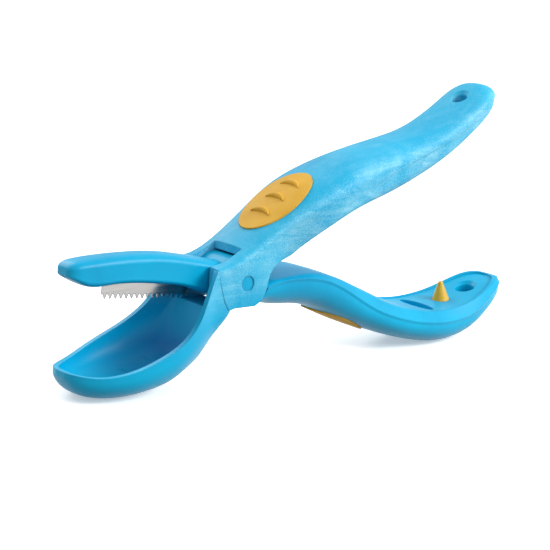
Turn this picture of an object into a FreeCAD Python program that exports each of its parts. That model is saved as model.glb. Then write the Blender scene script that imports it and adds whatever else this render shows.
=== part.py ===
# Scoop jaw cutter pliers, standing on the scoop and the belly of the lower handle.
# +X runs from the hinge to the handle ends, Y is across the tool, +Z is up, all in millimetres.
# Profiles are written about the hinge axis, then everything is raised by HINGE_HEIGHT.
import FreeCAD, Part
import math
import os

V = FreeCAD.Vector

# ---- overall sizes ----
HINGE_HEIGHT = 33.2          # hinge axis above the ground
UPPER_REACH = 122.5          # hinge axis to the end of the upper handle
LOWER_REACH = 136.0          # hinge axis to the end of the lower handle
SCOOP_REACH = 65.0           # hinge axis to the tip of the scoop
SCOOP_HALF_WIDTH = 16.7
WALL = 1.8                   # scoop wall
SCOOP_FLOOR = 2.4

BELLY_POWER = 2.7            # squareness of the underside of the lower handle: 2 is an ellipse

# ---- hinge ----
EAR_OUTSIDE = 23.2           # width over the two hinge ears
HUB_WIDTH = 13.0             # hub of the blade lever, between the ears
SIDE_GAP = 0.35              # free gap each side of the hub
HUB_GAP = 0.7                # radial gap round the hub
EAR_WALL = 0.7               # ear outside that gap
HANDLE_GAP = 0.6             # lower handle behind the round rear of the ears
EAR_DROP = 7.8               # hinge axis to the flat underside of the ears
PIN_RADIUS = 2.35
PIN_RUN = 0.06               # radial running clearance of the hub on the pin
PIN_SINK = 0.3               # pin ends sit below the ear faces
PIN_GROOVE = 0.3             # ring round each pin end, as wide as it is deep

# ---- return spring, in a ring-shaped pocket of the hub ----
WIRE = 0.9
COIL_RADIUS = 4.7            # centre line of the wire
COIL_TURNS = 3
COIL_PITCH = 1.1
COIL_INSET = 0.8             # first turn behind the hub face
POCKET_GAP = 0.7             # free room inside and outside the coil
POCKET_DEPTH = 5.0
HUB_WALL = 1.75              # hub material outside the pocket
LEG_TIP = -11.4              # end of the leg that goes through the scoop wall
LEG_BEND = 2.2
LEG_LONG = 5.0               # leg held in the hub
LEG_PLAY = 0.3               # radial clearance of the leg in the scoop wall
LEG_FIT = 0.1                # radial clearance of the leg in the hub
LEG_BORE = 12.0              # length of the hole for the leg in the scoop wall
LEG_BORE_PAST = 3.6          # how far that hole runs past the end of the leg

# ---- blade arm and blade ----
ARM_REACH = 66.0
ARM_HALF = 5.0
BLADE_THICK = 0.6
BLADE_FRONT = 51.0           # hinge axis to the front edge of the blade
BLADE_BACK = 16.0
BLADE_TALL = 9.5
BLADE_ROOT = -4.0            # height of the tooth roots at the back of the blade
TOOTH_PITCH = 2.15
TOOTH_DEPTH = 1.5
BLADE_SLOPE = 5.7            # degrees the tooth line falls towards the hinge
FRONT_CHAMFER = 1.5          # cut corner at the front of the blade
NOSE_SLIT = 1.4              # width of the slit in the nose of the arm

# ---- soft pads ----
PAD_SINK = 1.6               # depth of the seat under a pad
PAD_PROUD = 0.5              # pad surface above the handle
THUMB_LONG = 31.5
THUMB_WIDE = 19.8
THUMB_X, THUMB_Z, THUMB_LEAN = 20.0, 24.6, 33.0
RIDGE_STEP = 7.6
RIDGE_HALF_ANGLE = 42        # degrees of arc each side of the middle of a ridge
RIDGE_BOW = 6.6              # radius of the curved ridges
RIDGE_RADIUS = 1.1
RIDGE_THIN = 0.88            # share of its thickness a ridge loses towards its ends
RIDGE_AHEAD = 1.4            # middle ridge beyond the middle of the pad
RIDGE_SEAT = 0.1             # ridge centre line above the pad surface
RIDGE_DROP = 0.25            # outer ridges below the middle one, where the pad curves away
FINGER_LONG = 28.5
FINGER_WIDE = 16.5
FINGER_X, FINGER_Z, FINGER_LEAN = 51.0, -20.6, -22.4

# ---- cone, pocket, rim and hang holes ----
CONE_RADIUS = 3.45
CONE_TALL = 7.8
CONE_TIP = 1.05
CONE_ROOT = 3.0              # stem set into the handle
CONE_X, CONE_Z, CONE_LEAN = 108.6, -20.6, 8.0
RIM_DEPTH = 0.7              # recessed inner face of the lower handle
SLOT_X = 95.2
SLOT_LONG = 16.6             # across the handle
SLOT_WIDE = 6.4
SLOT_FLOOR = -23.4
UPPER_HOLE_X, UPPER_HOLE_Z, UPPER_HOLE_LEAN = 107.8, 56.4, 27.0
UPPER_HOLE_RADIUS = 2.85
LOWER_HOLE_X, LOWER_HOLE_Z, LOWER_HOLE_LEAN = 122.3, -20.0, 13.0
LOWER_HOLE_RADIUS = 3.6
UPPER_HOLE_UNDER = -10.6     # where each hole leaves its handle, along its own axis
LOWER_HOLE_TOP, LOWER_HOLE_UNDER = 2.8, -7.0
FLARE = 0.8                  # hole mouths widen by this much
BORE_LONG = 60.0

# ---- sizes that follow ----
EAR_HALF = EAR_OUTSIDE / 2
HUB_HALF = HUB_WIDTH / 2
SLOT_HALF = HUB_HALF + SIDE_GAP
POCKET_IN = COIL_RADIUS - WIRE / 2 - POCKET_GAP
POCKET_OUT = COIL_RADIUS + WIRE / 2 + POCKET_GAP
HUB_RADIUS = POCKET_OUT + HUB_WALL
EAR_RADIUS = HUB_RADIUS + HUB_GAP + EAR_WALL
CLEAR = 30.0                 # any distance safely outside the tool


def spline(points, closed=False):
    curve = Part.BSplineCurve()
    curve.interpolate(Points=[V(*p) for p in points], PeriodicFlag=closed)
    return curve.toShape()


def path_edges(points):
    return [Part.makeLine(V(*a), V(*b)) for a, b in zip(points[:-1], points[1:])]


def arch(x, half, base, peak, power, steps=8):
    """Points from +half to -half over (or under) a base height, like a squarish half ellipse."""
    points = []
    for i in range(steps + 1):
        angle = math.pi * i / steps
        c, s = math.cos(angle), math.sin(angle)
        y = half * math.copysign(abs(c) ** (2.0 / power), c)
        points.append((x, y, base + (peak - base) * abs(s) ** (2.0 / power)))
    return points


def section(x, crown, shoulder, half, corner, corner_half, bottom, top_power=2.4, low_power=2.2):
    """Closed section of a lever: crowned top, straight sides, rounded underside."""
    top = arch(x, half, shoulder, crown, top_power)
    low = arch(x, corner_half, corner, bottom, low_power)
    edges = [
        spline(top),
        Part.makeLine(V(*top[-1]), V(*low[-1])),
        spline(low[::-1]),
        Part.makeLine(V(*low[0]), V(*top[0])),
    ]
    return Part.Wire(edges)


def bevelled(x, crown, rim, rim_half, crease, half, bottom):
    """Closed section of the lower handle: low arch, bevelled shoulders with a crease, rounded underside."""
    top = arch(x, rim_half, rim, crown, 2.4)
    low = arch(x, half - 0.3, crease - 1.0, bottom, BELLY_POWER)
    left = [top[-1], (x, -half, crease), low[-1]]
    right = [low[0], (x, half, crease), top[0]]
    return Part.Wire([spline(top)] + path_edges(left) + [spline(low[::-1])] + path_edges(right))


def loft(wires):
    return Part.makeLoft(wires, True, False)


def slab(points, y0, y1):
    """Side profile given as (x, z) points, pushed from y0 to y1."""
    wire = Part.Wire(path_edges([(x, y0, z) for x, z in points + points[:1]]))
    return Part.Face(wire).extrude(V(0, y1 - y0, 0))


def curved_slab(upper, lower, y0, y1):
    """Slab between two smooth (x, z) lines that run in the same direction."""
    a = spline([(x, y0, z) for x, z in upper])
    b = spline([(x, y0, z) for x, z in lower])
    ends = [(upper[0], lower[0]), (upper[-1], lower[-1])]
    lines = [Part.makeLine(V(p[0], y0, p[1]), V(q[0], y0, q[1])) for p, q in ends]
    return Part.Face(Part.Wire(Part.__sortEdges__([a, lines[1], b, lines[0]]))).extrude(V(0, y1 - y0, 0))


def across(radius, y0, y1, x=0.0, z=0.0):
    """Round bar or bore along Y."""
    return Part.makeCylinder(radius, y1 - y0, V(x, y0, z), V(0, 1, 0))


def box(x0, x1, y0, y1, z0, z1):
    return Part.makeBox(x1 - x0, y1 - y0, z1 - z0, V(x0, y0, z0))


def leaning(shape, x, z, lean):
    """Stand a shape built at the origin on a sloping surface: lean is the slope in degrees."""
    shape.rotate(V(0, 0, 0), V(0, 1, 0), -lean)
    shape.translate(V(x, 0, z))
    return shape


def oval(long, wide, z0, z1):
    """Upright elliptical block, long along X, or along Y when wide is the larger."""
    if long >= wide:
        ellipse = Part.Ellipse(V(0, 0, z0), long / 2, wide / 2)
    else:
        ellipse = Part.Ellipse(V(0, wide / 2, z0), V(-long / 2, 0, z0), V(0, 0, z0))
    face = Part.Face(Part.Wire(ellipse.toShape()))
    return face.extrude(V(0, 0, z1 - z0))


def shifted(shape, lean, distance):
    """Copy of a shape moved square to a sloping surface."""
    moved = shape.copy()
    t = math.radians(lean)
    moved.translate(V(-math.sin(t) * distance, 0, math.cos(t) * distance))
    return moved


def crescent():
    """Ridge of a pad: a bar that bows along X and thins out to both ends."""
    rings = []
    steps = 6
    for i in range(steps + 1):
        share = 2.0 * i / steps - 1.0
        t = math.radians(RIDGE_HALF_ANGLE * share)
        radius = RIDGE_RADIUS * (1.0 - RIDGE_THIN * share * share)
        place = V(RIDGE_BOW * (math.cos(t) - 1.0), RIDGE_BOW * math.sin(t), 0)
        rings.append(Part.Wire(Part.makeCircle(radius, place, V(-math.sin(t), math.cos(t), 0))))
    return loft(rings)


def bore(radius, x, z, lean, mouths):
    """Slanted round hole whose mouths, at the given heights above (x, z), open out to a flare."""
    hole = Part.makeCylinder(radius, BORE_LONG, V(0, 0, -BORE_LONG / 2))
    for height, side in mouths:
        cone = Part.makeCone(radius, radius + 3 * FLARE, 3 * FLARE, V(0, 0, height), V(0, 0, side))
        hole = hole.fuse(cone)
    return leaning(hole, x, z, lean)


def single(shape):
    """The bare solid of a one-solid result. A result in several pieces is kept whole."""
    return shape.Solids[0] if len(shape.Solids) == 1 else shape


# ---- upper handle: x, crown, shoulder, half width, lower corner, its half width, bottom ----
u = UPPER_REACH / 122.5
UPPER = [
    (-13.5, 6.0, 5.0, EAR_HALF + 0.4, -11.0, EAR_HALF + 0.4, -13.0),
    (-8.0, 7.0, 5.8, EAR_HALF, -11.0, EAR_HALF, -13.0),
    (0.0, 10.8, 8.2, EAR_HALF, -10.0, EAR_HALF, -12.0),
    (8.0, 16.2, 12.8, EAR_HALF + 0.1, -6.0, EAR_HALF, -8.0),
    (16.0 * u, 21.8, 17.6, EAR_HALF + 0.9, 5.0, 10.4, 1.4),
    (25.0 * u, 27.8, 22.2, EAR_HALF + 2.4, 13.6, 12.6, 8.8),
    (35.0 * u, 32.6, 26.4, EAR_HALF + 3.2, 19.0, 13.8, 14.0),
    (46.0 * u, 36.6, 29.8, EAR_HALF + 2.6, 23.6, 13.6, 18.6),
    (60.0 * u, 40.3, 33.4, EAR_HALF + 1.2, 28.2, 12.4, 22.0),
    (75.0 * u, 43.3, 37.2, EAR_HALF, 32.8, 11.2, 26.2),
    (88.0 * u, 46.4, 41.4, EAR_HALF - 0.5, 37.4, 10.8, 31.6),
    (98.0 * u, 50.6, 46.0, EAR_HALF - 0.6, 42.2, 10.6, 36.8),
    (107.0 * u, 55.9, 51.2, EAR_HALF - 0.8, 47.6, 10.2, 42.6),
    (114.0 * u, 60.2, 55.4, EAR_HALF - 1.6, 52.0, 9.4, 47.6),
    (118.5 * u, 61.0, 57.0, EAR_HALF - 3.7, 54.2, 7.5, 51.0),
    (121.4 * u, 58.8, 56.9, 4.8, 55.0, 4.7, 53.0),
    (122.5 * u, 56.6, 56.1, 2.2, 55.5, 2.1, 54.9),
]
upper = loft([section(*s) for s in UPPER])

# side shape of the hinge block: front edge, flat underside, rounded rear, underside of the handle
rear = [(EAR_RADIUS * math.cos(math.radians(a)), EAR_RADIUS * math.sin(math.radians(a)))
        for a in (-45, -30, -15, 0)]
BLOCK = [(-13.4, 20.0), (-12.8, 5.0), (-11.4, 0.0), (-9.6, -5.0), (-7.4, -EAR_DROP - 0.5)]
BLOCK += [(-5.0, -EAR_DROP), (3.6, -EAR_DROP)] + rear
BLOCK += [(9.8, 2.2), (11.6, 4.6), (14.6, 6.0), (20.0, 7.8), (30.0, 10.5), (40.0, 10.5)]
BLOCK += [(130.0 * u, 10.5), (130.0 * u, 90.0), (-13.4, 90.0)]
upper = upper.common(slab(BLOCK, -30, 30))

# ---- scoop: x, half width, height where the side wall turns under, bottom ----
k = SCOOP_REACH / 65.0
w = SCOOP_HALF_WIDTH / 16.7
SCOOP = [
    (-65.0 * k, 2.2 * w, -24.2, -25.4),
    (-64.2 * k, 4.9 * w, -24.7, -27.0),
    (-62.0 * k, 7.9 * w, -25.1, -29.9),
    (-58.0 * k, 11.0 * w, -25.2, -32.0),
    (-52.5 * k, 13.6 * w, -24.6, -33.0),
    (-46.0 * k, 15.7 * w, -23.4, -33.14),
    (-38.0 * k, 16.7 * w, -21.2, -32.5),
    (-30.0 * k, 16.5 * w, -18.4, -31.0),
    (-24.0, 15.4 * w, -15.4, -28.6),
    (-18.5, 13.6 * w, -12.4, -26.2),
    (-13.5, EAR_HALF + 0.4, -9.6, -21.4),
    (-9.5, EAR_HALF, -8.6, -16.6),
    (-6.5, EAR_HALF - 0.5, -7.6, -12.2),
    (-5.2, EAR_HALF - 1.2, -7.0, -9.4),
]
RIM = [(-70.0 * k, -23.0), (-65.0 * k, -23.4), (-59.0 * k, -24.1), (-52.5 * k, -23.7), (-46.0 * k, -22.1),
       (-38.0 * k, -19.3), (-31.0 * k, -16.4), (-25.5, -13.0), (-21.0, -8.4), (-17.8, -2.8), (-15.6, 1.6),
       (-13.0, 6.6)]


# inside of the scoop where it climbs to the sill in front of the hinge
BACK = [
    (-18.6, 13.6 * w, -13.0, -25.4),
    (-15.4, 12.6, -11.5, -20.0),
    (-13.2, 11.7, -9.6, -14.6),
    (-11.9, 11.0, -8.4, -10.6),
]


def bowl(inset, floor, stations, lift):
    """Scoop body, or its hollow when inset: each station moves in square to the outline in plan."""
    wires = []
    for i, (x, half, turn, low) in enumerate(stations):
        before, after = stations[max(i - 1, 0)], stations[min(i + 1, len(stations) - 1)]
        along = V(after[0] - before[0], after[1] - before[1], 0).normalize()
        x_in = x + inset * along.y
        half_in = half - inset * along.x
        curve = arch(x_in, half_in, turn + floor * 0.4, low + floor, 2.4)
        top = [(x_in, -half_in, lift), (x_in, half_in, lift)]
        wires.append(Part.Wire([spline(curve)] + path_edges([curve[-1]] + top + [curve[0]])))
    return loft(wires)


rim_space = curved_slab(RIM, [(x, 60.0) for x, z in RIM], -40, 40)
outer = bowl(0.0, 0.0, SCOOP, 5.4).cut(rim_space)
outer = outer.cut(box(-8.4, 20, -30, 30, -6.0, 30))
inner = bowl(WALL, SCOOP_FLOOR, SCOOP[:-5] + BACK, CLEAR)
lever_a = upper.fuse(outer)
lever_a = lever_a.cut(inner)

# passage for the arm and the hub between the ears, floored by the sill of the scoop
sill = [(-16.0, -7.6), (0.4, -7.6), (0.4, 40.0), (-16.0, 40.0)]
lever_a = lever_a.cut(slab(sill, -SLOT_HALF, SLOT_HALF))
lever_a = lever_a.cut(across(HUB_RADIUS + HUB_GAP, -SLOT_HALF, SLOT_HALF))
tail = [(0.0, 0.0), (14.0, 9.0), (14.0, -16.0), (0.0, -16.0)]
lever_a = lever_a.cut(slab(tail, -SLOT_HALF, SLOT_HALF))
lever_a = lever_a.cut(across(PIN_RADIUS, -CLEAR, CLEAR))
mouth = across(PIN_RADIUS + PIN_GROOVE, -CLEAR, CLEAR)
mouth = mouth.cut(across(CLEAR, -EAR_HALF + PIN_GROOVE, EAR_HALF - PIN_GROOVE))
lever_a = lever_a.cut(mouth)

# ---- lower handle: x, crown, rim, its half width, crease, half width, bottom ----
d = LOWER_REACH / 136.0
LOWER = [
    (7.0, -3.0, -3.3, EAR_HALF - 1.2, -3.9, EAR_HALF - 0.3, -8.6),
    (14.0, -0.2, -0.5, EAR_HALF - 1.0, -1.1, EAR_HALF, -9.9),
    (23.0, 0.5, 0.1, EAR_HALF - 0.9, -0.6, EAR_HALF + 0.4, -11.0),
    (33.0, 0.2, -0.5, EAR_HALF - 0.8, -1.8, EAR_HALF + 0.8, -12.8),
    (42.0 * d, -2.2, -3.0, EAR_HALF - 0.6, -5.0, EAR_HALF + 1.0, -16.4),
    (52.0 * d, -6.2, -7.8, EAR_HALF - 0.5, -10.6, EAR_HALF + 1.2, -20.6),
    (62.0 * d, -10.4, -13.0, EAR_HALF - 0.4, -15.9, EAR_HALF + 1.6, -24.3),
    (73.0 * d, -15.2, -17.2, EAR_HALF - 0.2, -19.9, EAR_HALF + 2.4, -28.0),
    (84.0 * d, -18.3, -19.2, EAR_HALF, -22.5, EAR_HALF + 3.0, -31.0),
    (95.0 * d, -19.8, -20.2, EAR_HALF + 0.2, -23.8, EAR_HALF + 3.3, -32.94),
    (104.0 * d, -19.7, -20.0, EAR_HALF + 0.2, -23.9, EAR_HALF + 2.8, -32.96),
    (115.0 * d, -18.0, -18.2, EAR_HALF - 0.4, -22.2, EAR_HALF + 1.6, -30.6),
    (124.0 * d, -15.0, -15.2, EAR_HALF - 1.9, -18.4, EAR_HALF - 0.4, -26.6),
    (130.5 * d, -12.9, -13.1, EAR_HALF - 4.2, -15.4, EAR_HALF - 2.6, -22.4),
    (134.4 * d, -12.6, -12.8, 4.8, -14.2, 6.0, -19.0),
    (136.0 * d, -13.1, -13.2, 2.0, -14.0, 2.9, -16.8),
]
lower = loft([bevelled(*s) for s in LOWER])
lower = lower.cut(across(EAR_RADIUS + HANDLE_GAP, -CLEAR, CLEAR))

# ---- blade arm: x, crown, shoulder, half width, lower corner, its half width, bottom ----
j = ARM_REACH / 66.0
ARM = [
    (-66.0 * j, 9.1, 8.5, ARM_HALF - 2.8, 7.8, ARM_HALF - 2.8, 7.2),
    (-65.2 * j, 10.3, 8.9, ARM_HALF - 1.4, 7.5, ARM_HALF - 1.4, 6.4),
    (-63.0 * j, 11.3, 9.1, ARM_HALF - 0.3, 7.0, ARM_HALF - 0.3, 5.2),
    (-60.4 * j, 11.7, 9.1, ARM_HALF - 0.1, 6.2, ARM_HALF - 0.1, 3.9),
    (-57.4 * j, 11.9, 9.1, ARM_HALF, 5.6, ARM_HALF, 3.0),
    (-50.0 * j, 12.1, 9.0, ARM_HALF, 5.3, ARM_HALF, 2.9),
    (-40.0 * j, 11.9, 8.8, ARM_HALF + 0.1, 4.8, ARM_HALF + 0.1, 2.5),
    (-29.0 * j, 11.0, 7.9, ARM_HALF + 0.4, 3.2, ARM_HALF + 0.4, 1.1),
    (-18.0, 9.0, 6.0, ARM_HALF + 0.8, 0.7, ARM_HALF + 0.8, -1.3),
    (-9.0, 7.0, 4.2, ARM_HALF + 1.2, -1.8, ARM_HALF + 1.2, -4.0),
    (0.0, 5.6, 2.6, HUB_HALF - 0.1, -4.8, HUB_HALF - 0.1, -6.4),
]
arm = loft([section(*s, top_power=2.8, low_power=3.2) for s in ARM])
hub = across(HUB_RADIUS, -HUB_HALF, HUB_HALF)
neck = [(0.0, -7.4), (0.0, 4.6), (8.0, -2.4), (14.0, -1.2), (14.0, -8.4), (7.0, -7.6)]
lever_b = lower.fuse(hub).fuse(arm).fuse(slab(neck, -HUB_HALF, HUB_HALF))

# ring pocket for the spring, open to the near ear, and the sector its fixed leg sweeps
pocket = across(POCKET_OUT, -CLEAR, -HUB_HALF + POCKET_DEPTH)
lever_b = lever_b.cut(pocket.cut(across(POCKET_IN, -CLEAR, CLEAR)))
coil_y = -HUB_HALF + COIL_INSET
sweep = [(0.0, 0.0), (-11.9, -7.4), (-11.9, -14.0), (-4.3, -13.3)]
leg_slot = slab(sweep, -CLEAR, coil_y + COIL_INSET)
lever_b = lever_b.cut(leg_slot.cut(across(POCKET_IN, -CLEAR, CLEAR)))
lever_b = lever_b.cut(across(PIN_RADIUS + PIN_RUN, -CLEAR, CLEAR))
pin_half = EAR_HALF - PIN_SINK
pin = across(PIN_RADIUS, -pin_half, pin_half)

# ---- blade, teeth down, in its groove in the arm ----
blade_long = BLADE_FRONT - BLADE_BACK
outline = [(0.0, 0.0), (0.0, BLADE_TALL), (-blade_long + FRONT_CHAMFER, BLADE_TALL)]
outline += [(-blade_long, BLADE_TALL - FRONT_CHAMFER), (-blade_long, 0.0)]
for i in range(int(blade_long / TOOTH_PITCH)):
    start = -blade_long + i * TOOTH_PITCH
    outline.append((start + 0.3 * TOOTH_PITCH, 0.0))
    outline.append((start + 0.7 * TOOTH_PITCH, -TOOTH_DEPTH))
    outline.append((start + 0.95 * TOOTH_PITCH, 0.0))
blade = slab(outline, -BLADE_THICK / 2, BLADE_THICK / 2)
blade = leaning(blade, -BLADE_BACK, BLADE_ROOT, -BLADE_SLOPE)
lever_b = lever_b.cut(blade)
nose_slit = box(-ARM_REACH - 1, -BLADE_FRONT + FRONT_CHAMFER, -NOSE_SLIT / 2, NOSE_SLIT / 2, -2.0, 6.9)
lever_b = lever_b.cut(nose_slit)

# ---- hang holes ----
upper_mouths = [(-FLARE, 1), (UPPER_HOLE_UNDER, -1)]
upper_hole = bore(UPPER_HOLE_RADIUS, UPPER_HOLE_X * u, UPPER_HOLE_Z, UPPER_HOLE_LEAN, upper_mouths)
lever_a = lever_a.cut(upper_hole)
lower_mouths = [(LOWER_HOLE_TOP, 1), (LOWER_HOLE_UNDER, -1)]
lower_hole = bore(LOWER_HOLE_RADIUS, LOWER_HOLE_X * d, LOWER_HOLE_Z, LOWER_HOLE_LEAN, lower_mouths)
lever_b = lever_b.cut(lower_hole)

# ---- thumb pad: oval inset that follows the crowned top, with three curved ridges ----
upper_skin = loft([section(*s) for s in UPPER[2:8]])
thumb = leaning(oval(THUMB_LONG, THUMB_WIDE, -12, 9), THUMB_X * u, THUMB_Z, THUMB_LEAN)
thumb = thumb.common(shifted(upper_skin, THUMB_LEAN, PAD_PROUD))
thumb = thumb.cut(shifted(upper_skin, THUMB_LEAN, -PAD_SINK))
for step in (-1, 0, 1):
    ridge = crescent()
    ridge.translate(V(RIDGE_AHEAD + step * RIDGE_STEP, 0, PAD_PROUD + RIDGE_SEAT - RIDGE_DROP * abs(step)))
    thumb = thumb.fuse(leaning(ridge, THUMB_X * u, THUMB_Z, THUMB_LEAN))
thumb = single(thumb)
lever_a = lever_a.cut(thumb)

# ---- finger pad: oval inset that follows the underside of the lower handle ----
lower_skin = loft([bevelled(*s) for s in LOWER[1:9]])
finger = leaning(oval(FINGER_LONG, FINGER_WIDE, -7, 7), FINGER_X * d, FINGER_Z, FINGER_LEAN)
finger = finger.common(shifted(lower_skin, FINGER_LEAN, -PAD_PROUD))
finger = single(finger.cut(shifted(lower_skin, FINGER_LEAN, PAD_SINK)))
lever_b = lever_b.cut(finger)

# ---- inner face of the lower handle: recess inside a rim, slot pocket, cone ----
inset = [(74.0, 3.0), (79.0, 8.6), (88.0, 11.0), (98.0, 11.6), (108.0, 11.3), (117.0, 10.3)]
inset += [(124.0, 8.6), (129.4, 6.2), (132.4, 3.2)]
loop = [(x * d, -y, -40.0) for x, y in inset] + [(x * d, y, -40.0) for x, y in inset[::-1]]
recess = Part.Face(Part.Wire(spline(loop, True))).extrude(V(0, 0, 60))
recess = recess.cut(shifted(lower, 0.0, -RIM_DEPTH))
recess = recess.common(box(60 * d, 140 * d, -20, 20, -24, 0))
lever_b = lever_b.cut(recess)
pocket_hole = oval(SLOT_WIDE, SLOT_LONG, SLOT_FLOOR, 0)
pocket_hole.translate(V(SLOT_X * d, 0, 0))
lever_b = lever_b.cut(pocket_hole)
cone = Part.makeCone(CONE_RADIUS, CONE_TIP, CONE_TALL - CONE_TIP)
cone = cone.fuse(Part.makeSphere(CONE_TIP, V(0, 0, CONE_TALL - CONE_TIP)))
cone = cone.fuse(Part.makeCylinder(CONE_RADIUS * 0.7, CONE_ROOT, V(0, 0, -CONE_ROOT)))
cone = leaning(cone, CONE_X * d, CONE_Z, CONE_LEAN)
lever_b = lever_b.cut(cone)

# ---- return spring: leg through the scoop wall, coil, leg into the ring of the hub ----
leg_x = -COIL_RADIUS + LEG_FIT
bend_z = -COIL_RADIUS - LEG_BEND
path = [(leg_x, coil_y, LEG_TIP), (leg_x, coil_y, (LEG_TIP + bend_z) / 2), (leg_x, coil_y, bend_z)]
for degrees in (150, 120):
    t = math.radians(degrees)
    path.append((leg_x + LEG_BEND * (1 + math.cos(t)), coil_y, bend_z + LEG_BEND * math.sin(t)))
path.append((leg_x + LEG_BEND, coil_y, -COIL_RADIUS))
start, end = -90, 210 + 360 * (COIL_TURNS - 1)
for degrees in range(start, end + 1, 30):
    t = math.radians(degrees)
    rise = COIL_PITCH * (degrees - start) / 360.0
    path.append((COIL_RADIUS * math.cos(t), coil_y + rise, COIL_RADIUS * math.sin(t)))
off = V(*path[-1])
away = V(-math.sin(t), 0, math.cos(t))
for share in (0.36, 0.68, 1.0):
    path.append(tuple(off + away * (LEG_LONG * share)))
wire_path = Part.Wire(spline(path))
round_wire = Part.Wire(Part.makeCircle(WIRE / 2, V(*path[0]), V(0, 0, 1)))
spring = wire_path.makePipeShell([round_wire], True, False)
leg_bore = Part.makeCylinder(WIRE / 2 + LEG_PLAY, LEG_BORE, V(leg_x, coil_y, LEG_TIP - LEG_BORE_PAST))
lever_a = lever_a.cut(leg_bore)
into_ring = Part.makeCylinder(WIRE / 2 + LEG_FIT, LEG_LONG, off, away)
into_ring = into_ring.fuse(Part.makeSphere(WIRE / 2 + LEG_FIT, off + away * LEG_LONG))
lever_b = lever_b.cut(into_ring)

nodes = {
    "scoop_lever": single(lever_a),
    "thumb_pad": thumb,
    "blade_lever": single(lever_b),
    "serrated_blade": blade,
    "finger_pad": finger,
    "piercing_cone": single(cone),
    "pivot_pin": pin,
    "return_spring": spring,
}

middle = (LOWER_REACH - ARM_REACH) / 2
os.makedirs("parts", exist_ok=True)
for name, shape in nodes.items():
    shape.translate(V(-middle, 0, HINGE_HEIGHT))
    shape.exportStep("parts/" + name + ".step")
    print(name, shape.isValid(), shape.ShapeType, len(shape.Solids), round(shape.Volume, 1), len(shape.Faces))
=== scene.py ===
# Scoop jaw cutter pliers on a pale floor: materials, the return spring and fine moulding details.
import math
import bmesh
import bpy
from mathutils import Matrix, Vector
from mathutils.bvhtree import BVHTree


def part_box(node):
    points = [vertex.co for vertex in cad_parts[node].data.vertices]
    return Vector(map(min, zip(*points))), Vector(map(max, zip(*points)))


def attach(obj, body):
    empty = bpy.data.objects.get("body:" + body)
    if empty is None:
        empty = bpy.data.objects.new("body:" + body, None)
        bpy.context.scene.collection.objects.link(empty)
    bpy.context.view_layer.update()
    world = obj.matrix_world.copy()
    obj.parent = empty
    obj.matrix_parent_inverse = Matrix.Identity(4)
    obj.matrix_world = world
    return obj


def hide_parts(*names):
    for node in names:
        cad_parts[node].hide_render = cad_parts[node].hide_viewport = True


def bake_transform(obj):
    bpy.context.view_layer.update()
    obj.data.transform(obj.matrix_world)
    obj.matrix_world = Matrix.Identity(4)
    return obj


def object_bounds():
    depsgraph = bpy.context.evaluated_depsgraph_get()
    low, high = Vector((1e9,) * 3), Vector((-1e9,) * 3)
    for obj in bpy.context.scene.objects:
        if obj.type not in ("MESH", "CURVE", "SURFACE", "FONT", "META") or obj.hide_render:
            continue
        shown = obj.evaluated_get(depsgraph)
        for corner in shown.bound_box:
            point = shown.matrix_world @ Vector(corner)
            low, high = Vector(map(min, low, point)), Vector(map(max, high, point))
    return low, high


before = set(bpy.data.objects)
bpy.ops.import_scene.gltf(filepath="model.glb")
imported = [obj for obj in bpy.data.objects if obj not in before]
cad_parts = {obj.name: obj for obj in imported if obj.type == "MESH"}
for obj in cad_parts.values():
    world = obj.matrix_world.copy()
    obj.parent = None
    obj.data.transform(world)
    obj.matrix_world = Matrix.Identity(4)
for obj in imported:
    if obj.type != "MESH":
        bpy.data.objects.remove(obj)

cad_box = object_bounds()
MM = 0.001
EDGE_ROUNDING = 0.5 * MM
PIVOT = (Vector(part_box("pivot_pin")[0]) + Vector(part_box("pivot_pin")[1])) / 2
RIM_HEIGHT = PIVOT.z - 0.010     # scoop rim near the hinge



# ---------------------------------------------------------------- material helpers
def srgb(r, g, b):
    def linear(c):
        c /= 255.0
        return c / 12.92 if c <= 0.04045 else ((c + 0.055) / 1.055) ** 2.4
    return (linear(r), linear(g), linear(b), 1.0)


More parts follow.
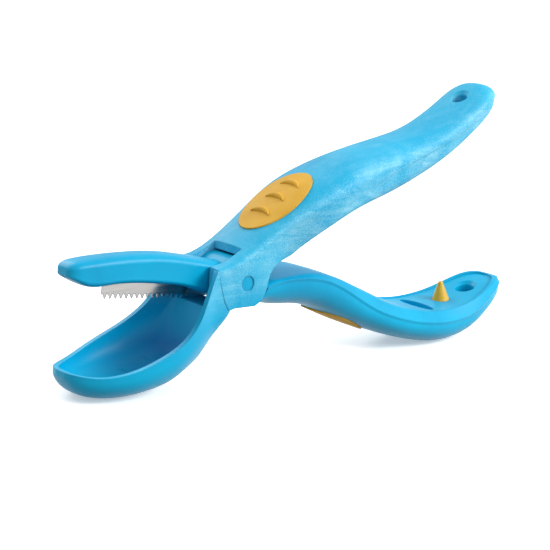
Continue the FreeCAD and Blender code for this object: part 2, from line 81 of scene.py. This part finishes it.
class Shader:
    """A Principled material and the few node links the surfaces here share."""

    def __init__(self, name, **inputs):
        self.material = bpy.data.materials.new(name)
        self.material.use_nodes = True
        self.tree = self.material.node_tree
        self.bsdf = self.tree.nodes["Principled BSDF"]
        for key, value in inputs.items():
            self.bsdf.inputs[key.replace("_", " ")].default_value = value
        self.place = self.node("ShaderNodeTexCoord").outputs["Object"]
        rounding = self.node("ShaderNodeBevel", samples=4)
        rounding.inputs["Radius"].default_value = EDGE_ROUNDING
        self.normal = rounding.outputs["Normal"]

    def node(self, kind, **values):
        made = self.tree.nodes.new(kind)
        for key, value in values.items():
            setattr(made, key, value)
        return made

    def link(self, a, b):
        self.tree.links.new(a, b)

    def scaled(self, scale, turn=(0.0, 0.0, 0.0)):
        """Object position stretched per axis, after a turn, for grain that runs one way."""
        mapping = self.node("ShaderNodeMapping")
        mapping.inputs["Rotation"].default_value = turn
        mapping.inputs["Scale"].default_value = scale
        self.link(self.place, mapping.inputs["Vector"])
        return mapping.outputs["Vector"]

    def noise(self, scale, detail=2.0, rough=0.5, distort=0.0, vector=None):
        tex = self.node("ShaderNodeTexNoise")
        tex.inputs["Scale"].default_value = scale
        tex.inputs["Detail"].default_value = detail
        tex.inputs["Roughness"].default_value = rough
        tex.inputs["Distortion"].default_value = distort
        self.link(vector or self.place, tex.inputs["Vector"])
        return tex.outputs["Fac"]

    def span(self, value, low, high, to_low=0.0, to_high=1.0):
        """Clamped remap of a value."""
        ramp = self.node("ShaderNodeMapRange", clamp=True)
        self.link(value, ramp.inputs["Value"])
        ramp.inputs["From Min"].default_value = low
        ramp.inputs["From Max"].default_value = high
        ramp.inputs["To Min"].default_value = to_low
        ramp.inputs["To Max"].default_value = to_high
        return ramp.outputs["Result"]

    def math(self, kind, a, b):
        made = self.node("ShaderNodeMath", operation=kind)
        for socket, value in zip(made.inputs, (a, b)):
            if isinstance(value, (int, float)):
                socket.default_value = value
            else:
                self.link(value, socket)
        return made.outputs[0]

    def mix(self, amount, a, b):
        """Colour between a and b; either may be a fixed colour or a link."""
        made = self.node("ShaderNodeMix", data_type="RGBA")
        self.link(amount, made.inputs["Factor"])
        for key, value in (("A", a), ("B", b)):
            socket = [s for s in made.inputs if s.name == key and s.type == "RGBA"][0]
            if isinstance(value, tuple):
                socket.default_value = value
            else:
                self.link(value, socket)
        return [s for s in made.outputs if s.type == "RGBA"][0]

    def axis(self, name):
        split = self.node("ShaderNodeSeparateXYZ")
        self.link(self.place, split.inputs[0])
        return split.outputs[name]

    def facing(self, name):
        """One component of the surface direction, in the object's own axes."""
        split = self.node("ShaderNodeSeparateXYZ")
        self.link(self.node("ShaderNodeTexCoord").outputs["Normal"], split.inputs[0])
        return split.outputs[name]

    def bump(self, height, depth, strength):
        made = self.node("ShaderNodeBump")
        made.inputs["Distance"].default_value = depth
        made.inputs["Strength"].default_value = strength
        self.link(height, made.inputs["Height"])
        self.link(self.normal, made.inputs["Normal"])
        self.normal = made.outputs["Normal"]
        self.link(self.normal, self.bsdf.inputs["Normal"])

    def colour(self, value):
        self.link(value, self.bsdf.inputs["Base Color"])

    def roughness(self, value):
        self.link(value, self.bsdf.inputs["Roughness"])


# ---------------------------------------------------------------- materials
# the deepest blue is painted shade, mixed into the scoop's hollow below the rim
PAINTED_SHADE_BLUE = srgb(0, 92, 156)
MID_BLUE = srgb(0, 148, 192)
BRIGHT_BLUE = srgb(2, 168, 210)
PEARL = srgb(168, 226, 240)
PLASTIC_SPECULAR = 0.22
FROST_RISE = (0.022, 0.040)      # heights between which the pearl haze sets in
SHADE_FADE_BELOW_RIM = 0.012                 # painted shade darkens the scoop's blue over this much below its rim
SCOOP_SHADE_SPAN = (0.045, 0.020)      # and between these distances in front of the hinge


def frosted_blue():
    """Pearly blue moulding: flow lines and speckle on the handle, plain satin in the scoop, with painted
    shade deep in the scoop's hollow and a painted sheen that makes the handle's sides paler than its top.
    """
    s = Shader("frosted_blue_plastic", IOR=1.47, Specular_IOR_Level=PLASTIC_SPECULAR)
    slope = (0.0, math.radians(27.0), 0.0)
    streaks = s.noise(1.0, 5.0, 0.66, 1.0, s.scaled((22.0, 210.0, 240.0), slope))
    swirls = s.noise(42.0, 3.0, 0.6, 1.2)
    speckle = s.noise(2300.0, 2.0, 0.75)
    handle = s.span(s.axis("Z"), *FROST_RISE)
    # painted sheen: the pearl haze is stronger on faces turned sideways than on the top
    sides = s.span(s.math("ABSOLUTE", s.facing("Y"), 0.0), 0.35, 0.95, 0.30, 1.0)
    flow = s.math("MULTIPLY", s.span(streaks, 0.46, 0.72), s.span(swirls, 0.35, 0.65, 0.4, 1.0))
    grain = s.span(speckle, 0.42, 0.66)
    haze = s.math("ADD", s.math("MULTIPLY", flow, 0.46), s.math("MULTIPLY", grain, 0.32))
    haze = s.math("ADD", haze, s.math("MULTIPLY", s.span(swirls, 0.4, 0.7), 0.26))
    frost_and_side_sheen = s.math("MULTIPLY", s.math("MULTIPLY", haze, handle), sides)
    body = s.mix(s.span(s.noise(30.0, 2.0), 0.3, 0.7), MID_BLUE, BRIGHT_BLUE)
    # painted shade: the scoop's hollow turns deeper blue below the rim and towards the hinge
    shade_below_rim = s.span(s.axis("Z"), RIM_HEIGHT - SHADE_FADE_BELOW_RIM, RIM_HEIGHT, 1.0, 0.0)
    shade_toward_hinge = s.span(s.axis("X"), PIVOT.x - SCOOP_SHADE_SPAN[0], PIVOT.x - SCOOP_SHADE_SPAN[1])
    scoop_shade = s.math("MULTIPLY", s.span(s.facing("Z"), 0.05, 0.5), s.math("MULTIPLY", shade_below_rim, shade_toward_hinge))
    body = s.mix(s.math("MULTIPLY", scoop_shade, 0.75), body, PAINTED_SHADE_BLUE)
    s.colour(s.mix(frost_and_side_sheen, body, PEARL))
    s.roughness(s.span(handle, 0.0, 1.0, 0.38, 0.50))
    s.bump(speckle, 0.00006, 0.30)
    s.bump(streaks, 0.0002, 0.08)
    return s.material


def painted_seam_highlight():
    """Raised parting seam where the two mould halves met; its paler colour is a painted highlight along it.
    """
    s = Shader("pearl_seam_plastic", IOR=1.47, Specular_IOR_Level=PLASTIC_SPECULAR, Roughness=0.5)
    fade = s.noise(140.0, 3.0, 0.6)
    # painted highlight: the seam's blue runs to pale pearl
    s.colour(s.mix(s.span(fade, 0.3, 0.7), BRIGHT_BLUE, PEARL))
    s.bump(s.noise(1900.0), 0.00003, 0.2)
    return s.material


def satin_blue():
    """Smooth satin blue moulding with faint mould texture."""
    s = Shader("satin_blue_plastic", IOR=1.47, Specular_IOR_Level=PLASTIC_SPECULAR)
    cloud = s.noise(36.0, 3.0, 0.55, 0.6)
    fine = s.noise(1900.0, 2.0, 0.6)
    s.colour(s.mix(s.span(cloud, 0.3, 0.7), MID_BLUE, BRIGHT_BLUE))
    s.roughness(s.span(fine, 0.3, 0.7, 0.30, 0.42))
    s.bump(fine, 0.00004, 0.25)
    return s.material


def soft_yellow():
    """Ochre rubber of the two finger rests."""
    s = Shader("soft_yellow_rubber", IOR=1.5, Specular_IOR_Level=0.15)
    cloud = s.noise(120.0, 3.0, 0.6)
    fine = s.noise(2800.0, 3.0, 0.7)
    s.colour(s.mix(s.span(cloud, 0.3, 0.7), srgb(204, 156, 50), srgb(214, 168, 62)))
    s.roughness(s.span(fine, 0.3, 0.7, 0.50, 0.66))
    s.bump(fine, 0.00006, 0.4)
    return s.material


def hard_yellow():
    """Glossier yellow of the small cone."""
    s = Shader("hard_yellow_plastic", IOR=1.5, Specular_IOR_Level=0.3)
    cloud = s.noise(160.0, 2.0)
    s.colour(s.mix(s.span(cloud, 0.3, 0.7), srgb(206, 160, 46), srgb(218, 176, 66)))
    fine = s.noise(1600.0, 2.0)
    s.roughness(s.span(fine, 0.3, 0.7, 0.26, 0.38))
    s.bump(fine, 0.00004, 0.2)
    return s.material


def blade_steel():
    """Polished strip with fine rolling lines."""
    s = Shader("polished_blade_steel", Metallic=1.0)
    lines = s.noise(1.0, 3.0, 0.6, 0.0, s.scaled((60.0, 900.0, 5200.0), (0.0, math.radians(5.7), 0.0)))
    s.colour(s.mix(s.span(lines, 0.3, 0.7), srgb(146, 144, 142), srgb(166, 164, 162)))
    s.roughness(s.span(lines, 0.3, 0.7, 0.12, 0.22))
    s.bump(lines, 0.00002, 0.12)
    return s.material


def spring_steel():
    """Drawn spring wire, slightly darkened by heat."""
    s = Shader("drawn_spring_wire", Metallic=1.0)
    drawn = s.noise(900.0, 3.0, 0.6)
    s.colour(s.mix(s.span(drawn, 0.3, 0.7), srgb(128, 124, 118), srgb(188, 184, 178)))
    s.roughness(s.span(drawn, 0.3, 0.7, 0.24, 0.38))
    s.bump(drawn, 0.00002, 0.2)
    return s.material


FINISHES = {
    "frosted_blue": frosted_blue(),
    "satin_blue": satin_blue(),
    "painted_seam_highlight": painted_seam_highlight(),
    "soft_yellow": soft_yellow(),
    "hard_yellow": hard_yellow(),
    "blade_steel": blade_steel(),
    "spring_steel": spring_steel(),
}
NODE_FINISH = {
    "scoop_lever": "frosted_blue",
    "thumb_pad": "soft_yellow",
    "blade_lever": "satin_blue",
    "serrated_blade": "blade_steel",
    "finger_pad": "soft_yellow",
    "piercing_cone": "hard_yellow",
    "pivot_pin": "satin_blue",
    "return_spring": "spring_steel",
}
for node_name, finish in NODE_FINISH.items():
    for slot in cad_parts[node_name].material_slots:
        slot.material = FINISHES[finish]


# ---------------------------------------------------------------- pieces in mesh code
def tube(name, path, radii, sides=16):
    """Round bar along a list of points, with a radius at each point and closed ends."""
    mesh = bmesh.new()
    rings = []
    side = None
    for i, point in enumerate(path):
        ahead = path[min(i + 1, len(path) - 1)]
        behind = path[max(i - 1, 0)]
        along = (ahead - behind).normalized()
        side = side or along.orthogonal().normalized()
        side = (side - along * side.dot(along)).normalized()
        other = along.cross(side)
        ring = []
        for k in range(sides):
            turn = 2.0 * math.pi * k / sides
            ring.append(mesh.verts.new(point + radii[i] * (math.cos(turn) * side + math.sin(turn) * other)))
        rings.append(ring)
    for a, b in zip(rings[:-1], rings[1:]):
        for k in range(sides):
            mesh.faces.new((a[k], a[(k + 1) % sides], b[(k + 1) % sides], b[k]))
    mesh.faces.new(rings[0][::-1])
    mesh.faces.new(rings[-1])
    data = bpy.data.meshes.new(name)
    mesh.to_mesh(data)
    mesh.free()
    for face in data.polygons:
        face.use_smooth = len(face.vertices) == 4
    piece = bpy.data.objects.new(name, data)
    bpy.context.scene.collection.objects.link(piece)
    return piece


WIRE_RADIUS = 0.45 * MM
COIL_RADIUS = 4.7 * MM
COIL_PITCH = 1.1 * MM
COIL_START = -5.7 * MM
LEG_BEND = 2.2 * MM
LEG_X = -4.6 * MM
LEG_TIP = -11.4 * MM
COIL_FROM, COIL_TO = -90, 930
LEG_LONG = 5.0 * MM


def spring_path():
    """Straight leg, bend, coil and second leg, about the hinge axis."""
    points = []
    bend_z = -COIL_RADIUS - LEG_BEND
    for i in range(9):
        points.append(Vector((LEG_X, COIL_START, LEG_TIP + (bend_z - LEG_TIP) * i / 9)))
    for i in range(9):
        turn = math.radians(180.0 - 90.0 * i / 8)
        points.append(Vector((LEG_X + LEG_BEND * (1 + math.cos(turn)), COIL_START,
                              bend_z + LEG_BEND * math.sin(turn))))
    for angle in range(COIL_FROM, COIL_TO + 1, 10):
        turn = math.radians(angle)
        rise = COIL_PITCH * (angle - COIL_FROM) / 360.0
        points.append(Vector((COIL_RADIUS * math.cos(turn), COIL_START + rise, COIL_RADIUS * math.sin(turn))))
    last = points[-1]
    turn = math.radians(COIL_TO)
    for i in range(1, 9):
        reach = LEG_LONG * i / 8
        points.append(last + Vector((-math.sin(turn) * reach, 0.0, math.cos(turn) * reach)))
    return [PIVOT + p for p in points]


wire = spring_path()
spring = tube("return_spring_wire", wire, [WIRE_RADIUS] * len(wire))
spring.data.materials.append(FINISHES["spring_steel"])
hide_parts("return_spring")
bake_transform(spring)

# ---- fine moulding marks that lie on the scoop lever
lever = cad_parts["scoop_lever"]
skin = BVHTree.FromPolygons([v.co for v in lever.data.vertices], [p.vertices for p in lever.data.polygons])
PARTING = [(21.0, 18.6), (28.0, 19.9), (36.0, 21.8), (44.0, 24.9), (54.0, 29.0), (64.0, 33.0), (76.0, 36.6),
           (88.0, 40.6), (98.0, 44.6), (107.0, 48.8), (114.0, 51.6), (119.0, 53.4)]
PARTING_RADIUS = 0.09 * MM
PARTING_STEPS = 6
RIB_RADIUS = 0.38 * MM
RIB_HALF = 8.0 * MM
RIB_TIP = 0.05                   # share of its radius left at the ends of a rib
RIB_STEPS = 24
RIBS = [(-25.0, -1.8), (-34.0, -1.8)]     # place along the scoop, and how far each rib slants
OUTSIDE = 40.0                   # where the rays start, beyond the sides of the tool
FINE_SIDES = 8


def smooth_line(points, steps):
    """Points of a curve that passes evenly through the given ones."""
    out = []
    for i in range(len(points) - 1):
        p = [Vector(points[min(max(i + n, 0), len(points) - 1)]) for n in (-1, 0, 1, 2)]
        for k in range(steps):
            t = k / steps
            out.append(0.5 * (2 * p[1] + (p[2] - p[0]) * t + (2 * p[0] - 5 * p[1] + 4 * p[2] - p[3]) * t * t
                              + (3 * p[1] - p[0] - 3 * p[2] + p[3]) * t * t * t))
    return out + [Vector(points[-1])]


def tapered(count, radius):
    """Full radius along the middle, thinning over the last fifth at each end."""
    return [radius * min(1.0, 0.15 + 5.0 * min(i, count - 1 - i) / (count - 1)) for i in range(count)]


def on_lever(starts, aim):
    """Fine raised line where rays from the starts meet the lever."""
    points = []
    for start in starts:
        hit = skin.ray_cast(start, aim)[0]
        if hit:
            points.append(hit)
    return points


for side, label in ((-1, "near"), (1, "far")):
    outline = smooth_line(PARTING, PARTING_STEPS)
    starts = [PIVOT + Vector((x * MM, side * OUTSIDE * MM, z * MM)) for x, z in outline]
    line = on_lever(starts, Vector((0, -side, 0)))
    seam = tube("parting_line_" + label, line, tapered(len(line), PARTING_RADIUS), FINE_SIDES)
    seam.data.materials.append(FINISHES["painted_seam_highlight"])
    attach(seam, "scoop_side")
for number, (x, slant) in enumerate(RIBS, 1):
    shares = [2 * i / RIB_STEPS - 1 for i in range(RIB_STEPS + 1)]
    starts = [PIVOT + Vector(((x + slant * t) * MM, t * RIB_HALF, 0)) for t in shares]
    line = on_lever(starts, Vector((0, 0, -1)))
    last = len(line) - 1
    radii = [RIB_RADIUS * (1.0 + RIB_TIP - abs(2 * i / last - 1)) for i in range(last + 1)]
    bead = tube("scoop_floor_rib_%d" % number, line, radii, FINE_SIDES)
    bead.data.materials.append(FINISHES["frosted_blue"])
    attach(bead, "scoop_side")

# ---------------------------------------------------------------- floor, light, camera
floor_data = bpy.data.meshes.new("pale_floor")
REACH = 3.0
FLOOR_GAP = 0.2 * MM
FLOOR_GLOW = 0.35
floor_data.from_pydata([(-REACH, -REACH, 0), (REACH, -REACH, 0), (REACH, REACH, 0), (-REACH, REACH, 0)],
                       [], [(0, 1, 2, 3)])
floor = bpy.data.objects.new("pale_floor", floor_data)
floor.location.z = cad_box[0][2] - FLOOR_GAP
bpy.context.scene.collection.objects.link(floor)
floor_shader = Shader("pale_floor", Roughness=0.9, Specular_IOR_Level=0.0)
floor_shader.colour(floor_shader.mix(floor_shader.span(floor_shader.noise(3.0), 0.3, 0.7),
                                     (0.93, 0.93, 0.93, 1.0), (0.95, 0.95, 0.95, 1.0)))
floor_shader.bsdf.inputs["Emission Color"].default_value = (1.0, 1.0, 1.0, 1.0)
floor_shader.bsdf.inputs["Emission Strength"].default_value = FLOOR_GLOW
floor_data.materials.append(floor_shader.material)
floor.visible_diffuse = False

# sky that is bright above the horizon and dimmer below it
SKY_ABOVE, SKY_BELOW = 0.80, 0.30
world = bpy.data.worlds.new("studio")
world.use_nodes = True
sky = world.node_tree
split = sky.nodes.new("ShaderNodeSeparateXYZ")
rise = sky.nodes.new("ShaderNodeMapRange")
sky.links.new(sky.nodes.new("ShaderNodeTexCoord").outputs["Generated"], split.inputs[0])
sky.links.new(split.outputs["Z"], rise.inputs["Value"])
for key, value in (("From Min", -0.15), ("From Max", 0.15), ("To Min", SKY_BELOW), ("To Max", SKY_ABOVE)):
    rise.inputs[key].default_value = value
sky.links.new(rise.outputs["Result"], sky.nodes["Background"].inputs["Strength"])
sky.nodes["Background"].inputs["Color"].default_value = (1.0, 1.0, 1.0, 1.0)
bpy.context.scene.world = world


def softbox(name, place, target, size, power):
    lamp = bpy.data.lights.new(name, "AREA")
    lamp.shape = "RECTANGLE"
    lamp.size, lamp.size_y = size
    lamp.energy = power
    made = bpy.data.objects.new(name, lamp)
    made.location = place
    made.rotation_euler = (Vector(target) - Vector(place)).to_track_quat("-Z", "Y").to_euler()
    bpy.context.scene.collection.objects.link(made)


softbox("key_light", (0.45, -0.70, 0.50), (0.0, 0.0, 0.04), (0.6, 0.4), 9.0)
softbox("back_light", (-0.10, 0.80, 0.60), (0.0, 0.0, 0.03), (0.8, 0.4), 5.0)

LENS_MM = 111.93
camera_data = bpy.data.cameras.new("camera")
camera_data.lens = LENS_MM
camera_data.sensor_width = 36.0
camera_data.clip_start = 0.01
camera = bpy.data.objects.new("camera", camera_data)
TILT, AZIMUTH, ELEVATION = -5.7, -42.0, 17.0
EYE = (-0.39969, -0.41341, 0.16358)
turn = (Matrix.Rotation(math.radians(TILT), 4, "Y") @ Matrix.Rotation(math.radians(AZIMUTH), 4, "Z")
        @ Matrix.Rotation(math.radians(90.0 - ELEVATION), 4, "X"))
camera.matrix_world = Matrix.Translation(EYE) @ turn
bpy.context.scene.collection.objects.link(camera)
bpy.context.scene.camera = camera
bpy.context.scene.view_settings.view_transform = "Standard"

bpy.context.view_layer.update()
